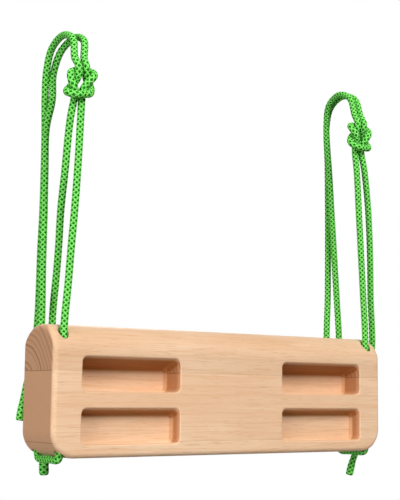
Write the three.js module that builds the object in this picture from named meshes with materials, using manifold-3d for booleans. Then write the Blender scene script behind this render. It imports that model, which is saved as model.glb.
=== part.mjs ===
// A portable wooden hangboard: three glued beech staves with four finger pockets,
// hung by two knotted cords that loop over a bar. Millimetres, +Z up.
// The origin is on the axis of the bar that the loops hang on, midway between them.
// The pockets face -Y.

import * as THREE from "three";
import { mergeVertices } from "three/addons/utils/BufferGeometryUtils.js";
import Module from "manifold-3d";

// Board, as one block before it is divided into staves. The top edges run along the length,
// the edge radius rounds all other edges, and the corners are those of its outline from the front.
const boardLength = 400;
const boardDepth = 59.5;
const boardHeight = 120;
const topEdgeRadius = 26;
const edgeRadius = 5;
const upperCornerRadius = 6;
const lowerCornerRadius = 24;

// Staves, counted from the underside: the upper one takes the height that is left
const lowerStaveHeight = 13.6;
const middleStaveHeight = 64;

// Finger pockets: two rows of two, each ledge measured up from the underside
const pocketFromCentre = 63.1;
const pocketWidth = 107.3;
const upperLedgeHeight = 59.3;
const upperMouthHeight = 32.1;
const upperPocketDepth = 25.8;
const lowerLedgeHeight = 11.7;
const lowerMouthHeight = 33;
const lowerPocketDepth = 14.4;
const ceilingSlope = THREE.MathUtils.degToRad(20);
const pocketCornerRadius = 5.5;
const pocketCoveRadius = 4;
const pocketRimRadius = 1.3;

// Cord holes, straight down through all the staves, one pair at each end
const holeFromEnd = 13;
const holeFromFace = 8.5;
const holeRadius = 5;
const holeRimRadius = 1.3;

// Cord and the bar that it hangs on
const cordDiameter = 7;
const barAboveMiddle = 305;
const barBehindMiddle = 2;

// Clearance between solids that meet, and the overrun of every cut
const meetingGap = 0.3;
const cutOverrun = 4;

// Facets
const edgeSteps = 12;
const cornerSteps = 8;
const roundSteps = 4;
const holeSides = 32;
const cordSides = 8;
const divisionsPerSpan = 40;

const halfLength = boardLength / 2;
const halfDepth = boardDepth / 2;
const halfHeight = boardHeight / 2;
const holeX = halfLength - holeFromEnd;
const holeY = halfDepth - holeFromFace;

const wasm = await Module();
wasm.setup();

// Turns a closed geometry into a solid that can be cut and joined
function toSolid(geometry) {
  const bare = geometry.index ? geometry.toNonIndexed() : geometry.clone();
  bare.deleteAttribute("normal");
  bare.deleteAttribute("uv");
  const merged = mergeVertices(bare);
  return new wasm.Manifold(new wasm.Mesh({
    numProp: 3,
    vertProperties: new Float32Array(merged.attributes.position.array),
    triVerts: new Uint32Array(merged.index.array),
  }));
}

// Turns a cut solid back into a geometry
function toGeometry(solid) {
  const mesh = solid.getMesh();
  const geometry = new THREE.BufferGeometry();
  geometry.setAttribute("position", new THREE.BufferAttribute(mesh.vertProperties, mesh.numProp));
  geometry.setIndex(new THREE.BufferAttribute(mesh.triVerts, 1));
  geometry.computeVertexNormals();
  return geometry;
}

// Joins rings of points, each with the same count, into one closed skin
function loft(rings) {
  const count = rings[0].length;
  const last = (rings.length - 1) * count;
  const triangles = [];
  for (let ring = 0; ring + 1 < rings.length; ring += 1) {
    for (let side = 0; side < count; side += 1) {
      const here = ring * count + side;
      const next = ring * count + (side + 1) % count;
      triangles.push(here, next, next + count);
      triangles.push(here, next + count, here + count);
    }
  }
  for (let side = 1; side + 1 < count; side += 1) {
    triangles.push(0, side + 1, side);
    triangles.push(last, last + side, last + side + 1);
  }
  const geometry = new THREE.BufferGeometry().setFromPoints(rings.flat());
  geometry.setIndex(triangles);
  return geometry;
}

// Angles of a quarter turn, from nothing to a right angle
function quarterTurn(steps) {
  return Array.from({ length: steps + 1 }, (_, step) => (Math.PI / 2) * step / steps);
}

// A rounded rectangle as pairs, from its lower left corner round through its lower right one
function roundedOutline(left, right, bottom, top, bottomRadius, topRadius, steps) {
  const corners = [
    { across: left + bottomRadius, up: bottom + bottomRadius, radius: bottomRadius },
    { across: right - bottomRadius, up: bottom + bottomRadius, radius: bottomRadius },
    { across: right - topRadius, up: top - topRadius, radius: topRadius },
    { across: left + topRadius, up: top - topRadius, radius: topRadius },
  ];
  return corners.flatMap(({ across, up, radius }, corner) => quarterTurn(steps).map((turn) => {
    const angle = Math.PI + corner * Math.PI / 2 + turn;
    return { across: across + radius * Math.cos(angle), up: up + radius * Math.sin(angle) };
  }));
}

// How far a round edge falls back from its flat face, at a distance in from the other face
function edgeFall(distanceIn, radius) {
  const reach = Math.max(0, radius - distanceIn);
  return radius - Math.sqrt(Math.max(0, radius * radius - reach * reach));
}

// Height of the board's top at a place across its depth
function topSurface(y) {
  return halfHeight - edgeFall(halfDepth - Math.abs(y), topEdgeRadius);
}

// Height of the board's underside, which rises at the two lower corners
function bottomSurface(x, y) {
  const inset = edgeFall(halfDepth - Math.abs(y), edgeRadius);
  const rise = edgeFall(halfLength - inset - Math.abs(x), lowerCornerRadius - inset);
  return inset + rise - halfHeight;
}

// Place of the board's front at a height
function frontSurface(z) {
  const radius = z > 0 ? topEdgeRadius : edgeRadius;
  return edgeFall(halfHeight - Math.abs(z), radius) - halfDepth;
}

// The whole board as one block, drawn in towards its front and back by its round edges
function boardBlock() {
  const wide = quarterTurn(edgeSteps).map((turn) => topEdgeRadius * (1 - Math.sin(turn)));
  const narrow = quarterTurn(roundSteps).slice(1, -1).map((turn) => edgeRadius * (1 - Math.sin(turn)));
  const behind = [...wide, ...narrow].sort((a, b) => a - b).map((fromFace) => halfDepth - fromFace);
  const stations = [...behind, ...behind.map((y) => -y).reverse()];
  const rings = stations.map((y) => {
    const inset = edgeFall(halfDepth - Math.abs(y), edgeRadius);
    return roundedOutline(
      inset - halfLength,
      halfLength - inset,
      inset - halfHeight,
      topSurface(y),
      lowerCornerRadius - inset,
      upperCornerRadius - inset,
      cornerSteps,
    ).map(({ across, up }) => new THREE.Vector3(across, y, up));
  });
  return toSolid(loft(rings));
}

// The space of one pocket: a rounded rim, a sloping ceiling, a level ledge and a coved back
function pocketCutter(side, { ledgeHeight, mouthHeight, pocketDepth }) {
  const middle = side * (pocketFromCentre + pocketWidth / 2);
  const ledge = ledgeHeight - halfHeight;
  const turns = quarterTurn(roundSteps);
  const rim = turns.map((turn) => ({
    depth: pocketRimRadius * (1 - Math.cos(turn)),
    grow: pocketRimRadius * (1 - Math.sin(turn)),
    onFront: true,
  }));
  const cove = turns.map((turn) => ({
    depth: pocketDepth - pocketCoveRadius * (1 - Math.sin(turn)),
    grow: pocketCoveRadius * (Math.cos(turn) - 1),
    onFront: false,
  }));
  const mouth = { depth: -cutOverrun, grow: pocketRimRadius, onFront: true };
  const rings = [mouth, ...rim, ...cove].map(({ depth, grow, onFront }) => {
    const ceiling = ledge + mouthHeight - Math.max(0, depth) * Math.tan(ceilingSlope);
    return roundedOutline(
      middle - pocketWidth / 2 - grow,
      middle + pocketWidth / 2 + grow,
      ledge - grow,
      ceiling + grow,
      pocketCornerRadius + grow,
      pocketCornerRadius + grow,
      roundSteps,
    ).map(({ across, up }) => {
      const start = onFront ? frontSurface(up) : -halfDepth;
      return new THREE.Vector3(across, start + depth, up);
    });
  });
  return toSolid(loft(rings.reverse()));
}

// The space of one cord hole, with a rounded rim that follows the round edges of the board
function holeCutter(side, face) {
  const x = side * holeX;
  const y = face * holeY;
  const rim = quarterTurn(roundSteps).map((turn) => ({
    sink: holeRimRadius * (1 - Math.cos(turn)),
    grow: holeRimRadius * (1 - Math.sin(turn)),
  }));
  const flare = [{ sink: -cutOverrun, grow: holeRimRadius }, ...rim];
  const ring = (grow, height) => Array.from({ length: holeSides }, (_, index) => {
    const angle = 2 * Math.PI * index / holeSides;
    const along = x + (holeRadius + grow) * Math.cos(angle);
    const across = y + (holeRadius + grow) * Math.sin(angle);
    return new THREE.Vector3(along, across, height(along, across));
  });
  const lower = flare.map(({ sink, grow }) => (
    ring(grow, (along, across) => bottomSurface(along, across) + sink)
  ));
  const upper = flare.map(({ sink, grow }) => (
    ring(grow, (along, across) => topSurface(across) - sink)
  ));
  return toSolid(loft([...lower, ...upper.reverse()]));
}

// A level slice of the board's space, between two heights
function slice(bottom, top) {
  const length = boardLength + 2 * cutOverrun;
  const depth = boardDepth + 2 * cutOverrun;
  const box = new THREE.BoxGeometry(length, depth, top - bottom);
  box.translate(0, 0, (bottom + top) / 2);
  return toSolid(box);
}

const upperPocket = {
  ledgeHeight: upperLedgeHeight,
  mouthHeight: upperMouthHeight,
  pocketDepth: upperPocketDepth,
};
const lowerPocket = {
  ledgeHeight: lowerLedgeHeight,
  mouthHeight: lowerMouthHeight,
  pocketDepth: lowerPocketDepth,
};

const beech = { color: 0xdcb98f, roughness: 0.6, metalness: 0 };
const beechDark = { color: 0xd2ac80, roughness: 0.6, metalness: 0 };
const braid = { color: 0x8fd08a, roughness: 0.8, metalness: 0 };

function namedMesh(name, geometry, look) {
  const mesh = new THREE.Mesh(geometry, new THREE.MeshStandardMaterial(look));
  mesh.name = name;
  return mesh;
}

// The three staves, cut from one block so that the pockets and holes line up through the seams
function staves() {
  const cuts = [];
  for (const side of [-1, 1]) {
    for (const row of [upperPocket, lowerPocket]) cuts.push(pocketCutter(side, row));
    for (const face of [-1, 1]) cuts.push(holeCutter(side, face));
  }
  const board = cuts.reduce((solid, cut) => solid.subtract(cut), boardBlock());
  const lowerSeam = lowerStaveHeight - halfHeight;
  const upperSeam = lowerSeam + middleStaveHeight;
  const layers = [
    { name: "lower_stave", bottom: -halfHeight - cutOverrun, top: lowerSeam, look: beech },
    { name: "middle_stave", bottom: lowerSeam, top: upperSeam, look: beechDark },
    { name: "upper_stave", bottom: upperSeam, top: halfHeight + cutOverrun, look: beech },
  ];
  return layers.map(({ name, bottom, top, look }) => (
    namedMesh(name, toGeometry(board.intersect(slice(bottom, top))), look)
  ));
}

// Routes of the cords, as points chosen by hand, X, Y and Z from the middle of the board.
// Each cord starts at the tip of its rear tail, climbs behind the board, crosses the bar,
// makes the knot's upper bight, crosses the bar again, goes down through the back hole,
// under the board and up through the front hole, makes the lower bight and ends in a tail.

// Bights, round the middle of their knot: across, towards the viewer, and up.
// The right knot is even, so one half of its upper bight gives both of its bights.
const halfBight = [
  [4.6, 2.4, 15], [4.5, 1.6, 9.4], [5.5, -1.9, 4.7], [8.1, -3.7, 0.5], [10.9, -3.1, -4],
  [12.3, -0.3, -8.2], [10.3, 3.1, -11.5], [5.5, 5.2, -12.9],
];
const bightBend = [0, 5.2, -13.1];
const evenBight = [
  ...halfBight.map(([across, out, up]) => [-across, out, up]),
  bightBend,
  ...halfBight.toReversed(),
];

// The loop's crossing of the bar, by the X of five points from one side of the bar to the other
const leftRoute = {
  knot: [-180.8, -30, 282],
  upperBight: [
    [-3.7, 2.6, 15], [-2.9, 2.6, 9], [-2.8, 0.2, 4], [-4.2, -3, -0.6], [-7.6, -5.6, -4.9],
    [-11.4, -3.9, -8.8], [-12.9, 0.5, -11.8], [-9.8, 4.9, -13.5], [-4.3, 6.6, -13.5],
    [1.4, 5.8, -12.3], [6.7, 5.2, -11.2], [10.3, 2.1, -8.1], [11.8, -0.4, -4],
    [10.9, -2.3, 0.6], [7.9, -2.5, 4.8], [5.6, 0.7, 9], [5, 2.2, 15],
  ],
  lowerBight: [
    [-4.7, -1.7, -15], [-5, 0.2, -9.4], [-7.8, 2.5, -5.2], [-9.9, 1.9, -1], [-10.3, 0.3, 3.9],
    [-8.7, -2.2, 8], [-5.1, -4.3, 10.6], [-0.1, -5, 12.1], [5.2, -5.7, 13.1], [10.3, -3.7, 12.8],
    [13.7, -0.4, 10.8], [12.8, 3.2, 7.2], [9.4, 5, 3.4], [5.9, 3.3, -0.7], [3.5, 1, -5.1],
    [2.9, -1.4, -9.6], [3.3, -2.2, -15],
  ],
  rearTail: [
    [-199.1, 34.4, -27.8], [-197.7, 34.4, -18.8], [-195.6, 34.3, -8], [-193, 34.2, 5],
    [-190.3, 34.2, 15], [-187.5, 34.2, 28], [-185, 34.2, 46], [-183.6, 34.2, 64],
    [-182.8, 34.2, 95], [-182.5, 34.2, 132], [-181.4, 34.6, 172], [-181.8, 35.4, 247],
    [-182.6, 35.8, 277],
  ],
  outerBend: { x: [-183.3, -183, -182.7, -183.2, -185.6], rear: 31.5, front: -27.5, rise: 29 },
  innerBend: { x: [-175.7, -171.4, -170.1, -172.6, -175.6], rear: 31.5, front: -27.5, rise: 29 },
  rearStrand: [
    [-178.2, 26.2, 277], [-184, 25.8, 248], [-184.9, 25, 207], [-185.3, 24.5, 170],
    [-186, 23, 111], [-186.2, 21.5, 67],
  ],
  backMouth: [-186.6, 21.3, 54],
  frontMouth: [-186.2, -21.3, 54],
  frontStrand: [
    [-185.7, -21.6, 67], [-183.6, -22.3, 96], [-182.1, -23.2, 127], [-180.2, -24.7, 164.5],
    [-178.7, -26.2, 207], [-178, -27, 238.5],
  ],
  frontTail: [
    [-186.3, -24.5, 252.6], [-185.7, -20, 238.4], [-183.7, -11, 202], [-180.6, 0.4, 168],
    [-176.4, 10.8, 130], [-172.4, 22.2, 98], [-169.5, 30.6, 77.5], [-168.3, 33.8, 62.2],
    [-169.3, 34.1, 30], [-171.2, 34.1, -21], [-173.1, 34, -56.4], [-172.6, 33.8, -78.3],
  ],
};
const rightRoute = {
  knot: [171.7, -30, 280.5],
  upperBight: evenBight,
  lowerBight: evenBight.map(([across, out, up]) => [across, -out, -up]),
  rearTail: [
    [184.5, 34.2, -24], [183.6, 34, -1.4], [182, 34, 29.4], [180.7, 34, 63.3],
    [182.4, 34, 105.4], [183, 34, 158], [183.1, 34, 209.4], [182.6, 34, 261],
  ],
  outerBend: { x: [180.2, 178.7, 177.1, 176.4, 176], rear: 32.5, front: -27.5, rise: 28.4 },
  innerBend: { x: [167.1, 167.8, 168.7, 170.8, 174.3], rear: 26.5, front: -27.5, rise: 28.4 },
  rearStrand: [
    [174.8, 25.8, 281], [177, 24.6, 245], [178.8, 23.6, 208], [182.3, 22.8, 153],
    [185.2, 22, 104.6], [187.6, 21.5, 66.6],
  ],
  backMouth: [187.4, 21.3, 54],
  frontMouth: [187, -21.3, 54],
  frontStrand: [
    [186.2, -21.6, 70.8], [183.3, -22.5, 102.5], [178.2, -24.5, 153], [173.3, -26.5, 201],
    [169.5, -28, 240],
  ],
  frontTail: [
    [181.1, -27.5, 245], [190.9, -23, 203], [196.8, -19.5, 153], [200.7, -16, 103.7],
    [205.5, -13, 54.6], [205.5, -9, 30], [205, -3, -0.9], [204.9, 4, -26.6],
    [205.1, 8.5, -48.1], [203.2, 11.5, -63], [198, 11, -72.5], [193.4, 12, -88],
  ],
};

// The cord's way under the board from one hole to the other, at the X of the holes: Y and Z
const underCord = [
  [21.2, -49], [21, -53], [20.5, -56.9], [19.2, -60.3], [15.8, -62.3], [9, -62.6], [0, -62.6],
  [-9, -62.5], [-15.7, -62], [-19.1, -60.1], [-20.5, -56.9], [-21, -53],
];

// Points of one bight in its knot's place, from its left leg to its right one or back again
function bight([x, y, z], points, fromLeft) {
  const placed = points.map(([across, out, up]) => [x + across, y - out, z + up]);
  return fromLeft ? placed : placed.reverse();
}

// Points of one crossing of the bar, half a turn from the rear to the front or back again
function barBend({ x, rear, front, rise }, fromRear) {
  return x.map((across, index) => {
    const turn = Math.PI * index / (x.length - 1);
    const angle = fromRear ? turn : Math.PI - turn;
    const y = (rear + front) / 2 + Math.cos(angle) * (rear - front) / 2;
    return [across, y, barAboveMiddle + rise * Math.sin(angle)];
  });
}

// The stretches of one cord in order, each with its points, its last point shared with the next
function stretches(route, side) {
  const inHole = side * holeX;
  const [underY, underZ] = underCord[0];
  const underEnd = [inHole, -underY, underZ];
  const outer = barBend(route.outerBend, true);
  const inner = barBend(route.innerBend, false);
  const upper = bight(route.knot, route.upperBight, side < 0);
  const lower = bight(route.knot, route.lowerBight, side > 0);
  return [
    { name: "rear_tail", steps: 9, points: route.rearTail },
    { name: "outer_bar_bend", steps: 6, points: outer.slice(0, -1) },
    { name: "upper_bight", steps: 22, points: [...outer.slice(-1), ...upper] },
    { name: "inner_bar_bend", steps: 6, points: inner.slice(0, -1) },
    { name: "rear_strand", steps: 8, points: [...inner.slice(-1), ...route.rearStrand] },
    { name: "back_hole_cord", steps: 2, points: [route.backMouth, [inHole, holeY, 0]] },
    { name: "under_cord", steps: 9, points: underCord.map(([y, z]) => [inHole, y, z]) },
    { name: "front_hole_cord", steps: 2, points: [underEnd, [inHole, -holeY, 0]] },
    { name: "front_strand", steps: 4, points: [route.frontMouth, ...route.frontStrand] },
    { name: "lower_bight", steps: 22, points: lower },
    { name: "front_tail", steps: 12, points: route.frontTail },
  ];
}

// A stretch of a cord's centre line, drawn in at each end by half the gap between solids
class Stretch extends THREE.Curve {
  constructor(line, from, to) {
    super();
    this.line = line;
    this.from = from;
    this.to = to;
  }

  getPoint(share, target = new THREE.Vector3()) {
    return this.line.getPointAt(this.from + (this.to - this.from) * share, target);
  }
}

// Length along a smooth line up to one of the points that it passes through
function lengthUpTo(line, index) {
  const divisions = line.arcLengthDivisions;
  const lengths = line.getLengths(divisions);
  return lengths[Math.round(divisions * index / (line.points.length - 1))];
}

// One cord as closed tubes, one for each stretch, along one smooth line
function cord(side, route) {
  const parts = stretches(route, side);
  const points = parts.flatMap((part) => part.points).map((point) => new THREE.Vector3(...point));
  const line = new THREE.CatmullRomCurve3(points, false, "centripetal");
  line.arcLengthDivisions = (points.length - 1) * divisionsPerSpan;
  const total = line.getLength();
  const cordRadius = cordDiameter / 2;
  const section = new THREE.Shape(Array.from({ length: cordSides }, (_, index) => {
    const angle = 2 * Math.PI * (index + 1 / 2) / cordSides;
    return new THREE.Vector2(cordRadius * Math.cos(angle), cordRadius * Math.sin(angle));
  }));
  let first = 0;
  return parts.map((part, index) => {
    const start = lengthUpTo(line, first);
    first += part.points.length;
    const isLast = index === parts.length - 1;
    const end = isLast ? total : lengthUpTo(line, first);
    const from = index === 0 ? 0 : (start + meetingGap / 2) / total;
    const to = isLast ? 1 : (end - meetingGap / 2) / total;
    const tube = new THREE.ExtrudeGeometry(section, {
      steps: part.steps,
      bevelEnabled: false,
      extrudePath: new Stretch(line, from, to),
    });
    return namedMesh(`${side < 0 ? "left" : "right"}_${part.name}`, tube, braid);
  });
}

const board = new THREE.Group();
board.add(...staves());
board.add(...cord(-1, leftRoute));
board.add(...cord(1, rightRoute));
board.position.set(0, -barBehindMiddle, -barAboveMiddle);

const hangboard = new THREE.Group();
hangboard.add(board);

export default hangboard;
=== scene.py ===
"""Portable beech hangboard, hung by two knotted cords that loop over a bar.

All lengths are in metres, in the frame of the fixed model: +X along the board, +Y to its
back, +Z up, with the origin on the axis of the bar that the loops hang on.
"""

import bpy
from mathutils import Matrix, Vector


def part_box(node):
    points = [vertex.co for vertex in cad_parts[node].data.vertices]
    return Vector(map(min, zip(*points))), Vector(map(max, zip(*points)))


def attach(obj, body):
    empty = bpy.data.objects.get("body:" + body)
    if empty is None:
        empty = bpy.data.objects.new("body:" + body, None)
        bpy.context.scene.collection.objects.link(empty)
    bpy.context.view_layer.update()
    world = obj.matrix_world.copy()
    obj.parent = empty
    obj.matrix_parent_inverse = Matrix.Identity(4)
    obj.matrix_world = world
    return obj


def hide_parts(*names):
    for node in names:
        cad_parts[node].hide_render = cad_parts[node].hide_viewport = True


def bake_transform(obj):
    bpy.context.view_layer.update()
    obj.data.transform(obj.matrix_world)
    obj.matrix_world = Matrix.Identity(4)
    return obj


bl_info = {
    "name": "Portable Hangboard",
    "version": (1, 0, 0),
    "blender": (4, 5, 0),
    "location": "View3D > Sidebar > Hangboard",
    "description": "Makes a portable beech hangboard with its two braided cords",
    "category": "Object",
}

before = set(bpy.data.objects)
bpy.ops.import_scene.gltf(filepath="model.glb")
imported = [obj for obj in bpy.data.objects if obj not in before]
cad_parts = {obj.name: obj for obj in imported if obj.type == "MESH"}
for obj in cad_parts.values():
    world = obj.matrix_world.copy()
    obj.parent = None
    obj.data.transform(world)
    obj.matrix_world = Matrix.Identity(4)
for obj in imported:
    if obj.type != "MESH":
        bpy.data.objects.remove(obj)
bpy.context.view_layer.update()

import math

import bmesh
import bpy
import numpy as np
from bpy.props import FloatProperty, FloatVectorProperty, IntProperty, PointerProperty
from mathutils import Matrix, Vector

STAVES = ("lower_stave", "middle_stave", "upper_stave")
STAVE_BOXES = {name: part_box(name) for name in STAVES}
BOARD_LOW = Vector(min(low[axis] for low, high in STAVE_BOXES.values()) for axis in range(3))
BOARD_HIGH = Vector(max(high[axis] for low, high in STAVE_BOXES.values()) for axis in range(3))
BOARD_MIDDLE = Vector((0, -0.002, -0.305))
BOARD_SIZE = Vector((0.4, 0.0595, 0.12))


# Routes of the cords, X, Y and Z from the middle of the board. Each cord starts at the tip of
# its rear tail, climbs behind the board, crosses the bar, makes the knot's upper bight, crosses
# the bar again, goes down through the back hole, under the board and up through the front
# hole, makes the lower bight and ends in a tail.

# Bights, round the middle of their knot: across, towards the viewer, and up.
# The right knot is even, so one half of its upper bight gives both of its bights.
HALF_BIGHT = [
    (0.0046, 0.0024, 0.015), (0.0045, 0.0016, 0.0094), (0.0055, -0.0019, 0.0047),
    (0.0081, -0.0037, 0.0005), (0.0109, -0.0031, -0.004), (0.0123, -0.0003, -0.0082),
    (0.0103, 0.0031, -0.0115), (0.0055, 0.0052, -0.0129),
]
BIGHT_BEND = (0, 0.0052, -0.0131)
EVEN_BIGHT = [
    *((-across, out, up) for across, out, up in HALF_BIGHT), BIGHT_BEND,
    *reversed(HALF_BIGHT),
]
UNDER_CORD = [
    (0.0212, -0.049), (0.021, -0.053), (0.0205, -0.0569), (0.0192, -0.0603), (0.0158, -0.062),
    (0.009, -0.0618), (0, -0.0617), (-0.009, -0.0618), (-0.0157, -0.0618), (-0.0191, -0.0601),
    (-0.0205, -0.0569), (-0.021, -0.053),
]
LEFT_ROUTE = {
    "knot": (-0.1808, -0.03, 0.282),
    "upper_bight": [
        (-0.0037, 0.0026, 0.015), (-0.0029, 0.0026, 0.009), (-0.0028, 0.0002, 0.004),
        (-0.0042, -0.003, -0.0006), (-0.0076, -0.0056, -0.0049), (-0.0114, -0.0039, -0.0088),
        (-0.0129, 0.0005, -0.0118), (-0.0098, 0.0049, -0.0135), (-0.0043, 0.0066, -0.0135),
        (0.0014, 0.0058, -0.0123), (0.0067, 0.0052, -0.0112), (0.0103, 0.0021, -0.0081),
        (0.0118, -0.0004, -0.004), (0.0109, -0.0023, 0.0006), (0.0079, -0.0025, 0.0048),
        (0.0056, 0.0007, 0.009), (0.005, 0.0022, 0.015),
    ],
    "lower_bight": [
        (-0.0047, -0.0017, -0.015), (-0.005, 0.0002, -0.0094), (-0.0078, 0.0025, -0.0052),
        (-0.0099, 0.0019, -0.001), (-0.0103, 0.0003, 0.0039), (-0.0087, -0.0022, 0.008),
        (-0.0051, -0.0043, 0.0106), (-0.0001, -0.005, 0.0121), (0.0052, -0.0057, 0.0131),
        (0.0103, -0.0037, 0.0128), (0.0137, -0.0004, 0.0108), (0.0128, 0.0032, 0.0072),
        (0.0094, 0.005, 0.0034), (0.0059, 0.0033, -0.0007), (0.0035, 0.001, -0.0051),
        (0.0029, -0.0014, -0.0096), (0.0033, -0.0022, -0.015),
    ],
    "rear_tail": [
        (-0.1991, 0.0344, -0.0278), (-0.1977, 0.0344, -0.0188), (-0.1956, 0.0343, -0.008),
        (-0.193, 0.0342, 0.005), (-0.1903, 0.0342, 0.015), (-0.1875, 0.0342, 0.028),
        (-0.185, 0.0342, 0.046), (-0.1836, 0.0342, 0.064), (-0.1828, 0.0342, 0.095),
        (-0.1825, 0.0342, 0.132), (-0.1812, 0.0346, 0.172), (-0.181, 0.0354, 0.247),
        (-0.1817, 0.0358, 0.277),
    ],
    "outer_bend": ((-0.1833, -0.183, -0.1827, -0.1832, -0.1856), 0.0315, -0.0275, 0.029),
    "inner_bend": ((-0.1757, -0.1714, -0.1701, -0.1726, -0.1756), 0.0315, -0.0275, 0.029),
    "rear_strand": [
        (-0.179, 0.0262, 0.277), (-0.1848, 0.0258, 0.248), (-0.1853, 0.025, 0.207),
        (-0.1853, 0.0245, 0.17), (-0.186, 0.023, 0.111), (-0.1862, 0.0215, 0.067),
    ],
    "back_mouth": (-0.1866, 0.0213, 0.054),
    "front_mouth": (-0.1862, -0.0213, 0.054),
    "front_strand": [
        (-0.1857, -0.0216, 0.067), (-0.1836, -0.0223, 0.096), (-0.1821, -0.0232, 0.127),
        (-0.1802, -0.0247, 0.1645), (-0.1787, -0.0262, 0.207), (-0.178, -0.027, 0.2385),
    ],
    "front_tail": [
        (-0.1863, -0.0245, 0.2526), (-0.1857, -0.02, 0.2384), (-0.1837, -0.011, 0.202),
        (-0.1806, 0.0004, 0.168), (-0.1764, 0.0108, 0.13), (-0.1724, 0.0222, 0.098),
        (-0.1695, 0.0306, 0.0775), (-0.1683, 0.0338, 0.0622), (-0.1693, 0.0341, 0.03),
        (-0.1712, 0.0341, -0.021), (-0.1731, 0.034, -0.0564), (-0.1726, 0.0338, -0.0783),
    ],
    "tip_flares": (0.12, 0.34),
}
RIGHT_ROUTE = {
    "knot": (0.1717, -0.03, 0.2805),
    "upper_bight": EVEN_BIGHT,
    "lower_bight": [(across, -out, -up) for across, out, up in EVEN_BIGHT],
    "rear_tail": [
        (0.1845, 0.0342, -0.024), (0.1836, 0.034, -0.0014), (0.182, 0.034, 0.0294),
        (0.1807, 0.034, 0.0633), (0.1824, 0.034, 0.1054), (0.183, 0.034, 0.158),
        (0.1831, 0.034, 0.2094), (0.1826, 0.034, 0.261),
    ],
    "outer_bend": ((0.1802, 0.1787, 0.1771, 0.1764, 0.176), 0.0325, -0.0275, 0.0284),
    "inner_bend": ((0.1671, 0.1678, 0.1687, 0.1708, 0.1743), 0.0265, -0.0275, 0.0284),
    "rear_strand": [
        (0.1748, 0.0258, 0.281), (0.177, 0.0246, 0.245), (0.1788, 0.0236, 0.208),
        (0.1823, 0.0228, 0.153), (0.1852, 0.022, 0.1046), (0.1876, 0.0215, 0.0666),
    ],
    "back_mouth": (0.1874, 0.0213, 0.054),
    "front_mouth": (0.187, -0.0213, 0.054),
    "front_strand": [
        (0.1862, -0.0216, 0.0708), (0.1833, -0.0225, 0.1025), (0.1782, -0.0245, 0.153),
        (0.1733, -0.0265, 0.201), (0.1695, -0.028, 0.24),
    ],
    "front_tail": [
        (0.1811, -0.0275, 0.245), (0.1909, -0.023, 0.203), (0.1968, -0.0195, 0.153),
        (0.2007, -0.016, 0.1037), (0.2055, -0.013, 0.0546), (0.2055, -0.009, 0.03),
        (0.205, -0.003, -0.0009), (0.2049, 0.004, -0.0266), (0.2051, 0.0085, -0.0481),
        (0.2032, 0.0115, -0.063), (0.198, 0.011, -0.0725), (0.1934, 0.012, -0.088),
    ],
    "tip_flares": (0.1, 0.16),
}


def distance(name, description, default, low):
    """A length in metres, for a property group."""
    return FloatProperty(
        name=name, description=description, default=default, min=low,
        subtype="DISTANCE", unit="LENGTH")


def finish(name, description, default):
    """A colour in display values, for a property group."""
    return FloatVectorProperty(
        name=name, description=description, default=default, size=3, min=0, max=1,
        subtype="COLOR_GAMMA")


def power(name, description, default):
    """The power of a lamp in watts, for a property group."""
    return FloatProperty(
        name=name, description=description, default=default, min=0,
        subtype="POWER", unit="POWER")


class HangboardBoard(bpy.types.PropertyGroup):
    """Sizes of the wooden board"""

    top_edge_radius: distance(
        "Top Edge Radius", "Rounding of the long edges at the top", 0.026, 0.001)
    edge_radius: distance(
        "Edge Radius", "Rounding of the edges at the ends and the underside", 0.005, 0.0005)
    upper_corner_radius: distance(
        "Upper Corner Radius", "Rounding of the upper corners, from the front", 0.006, 0.001)
    lower_corner_radius: distance(
        "Lower Corner Radius", "Rounding of the lower corners, from the front", 0.024, 0.001)
    pocket_from_centre: distance(
        "Pocket From Centre", "From the middle of the board to a pocket", 0.0631, 0.01)
    pocket_width: distance("Pocket Width", "Width of every pocket", 0.1073, 0.02)
    upper_ledge: distance(
        "Upper Ledge", "Height of the upper ledges above the underside", 0.0593, 0.01)
    upper_mouth: distance(
        "Upper Mouth", "Height of the upper pockets at their mouths", 0.0321, 0.01)
    upper_depth: distance("Upper Depth", "Depth of the upper pockets", 0.0258, 0.005)
    lower_ledge: distance(
        "Lower Ledge", "Height of the lower ledges above the underside", 0.0117, 0.005)
    lower_mouth: distance(
        "Lower Mouth", "Height of the lower pockets at their mouths", 0.033, 0.01)
    lower_depth: distance("Lower Depth", "Depth of the lower pockets", 0.0144, 0.005)
    ceiling_slope: FloatProperty(
        name="Ceiling Slope", description="Fall of the pocket ceilings towards the back",
        default=math.radians(20), min=0, subtype="ANGLE", unit="ROTATION")
    pocket_corner_radius: distance(
        "Pocket Corner Radius", "Rounding of the pocket corners", 0.0055, 0.001)
    pocket_cove_radius: distance(
        "Pocket Cove Radius", "Rounding where a pocket meets its back", 0.004, 0.0005)
    pocket_rim_radius: distance(
        "Pocket Rim Radius", "Rounding of the pocket mouths", 0.0013, 0.0002)
    hole_from_end: distance(
        "Hole From End", "From an end face to the axis of the cord holes", 0.013, 0.005)
    hole_from_face: distance(
        "Hole From Face", "From the front or back to the axis of a hole", 0.0085, 0.005)
    hole_radius: distance("Hole Radius", "Radius of the cord holes", 0.005, 0.002)
    hole_rim_radius: distance(
        "Hole Rim Radius", "Rounding of the mouths of the holes", 0.0013, 0.0002)


class HangboardCord(bpy.types.PropertyGroup):
    """Sizes of the braided cord"""

    diameter: distance("Diameter", "Diameter of the cord", 0.007, 0.002)
    bar_height: distance(
        "Bar Height", "From the middle of the board up to the bar's axis", -BOARD_MIDDLE.z, 0.05)
    columns: IntProperty(
        name="Columns", description="Columns of dark diamonds round the cord, an even count",
        default=8, min=4)
    braid_pitch: distance(
        "Braid Pitch", "Half the length from one dark diamond to the next", 0.00235, 0.0005)
    ridge: distance("Ridge", "How far the strands of the braid stand up", 0.0003, 0)
    sides: IntProperty(name="Sides", description="Faces round the cord", default=40, min=8)
    step: distance("Step", "Length of a face along the cord", 0.0006, 0.0002)


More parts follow.
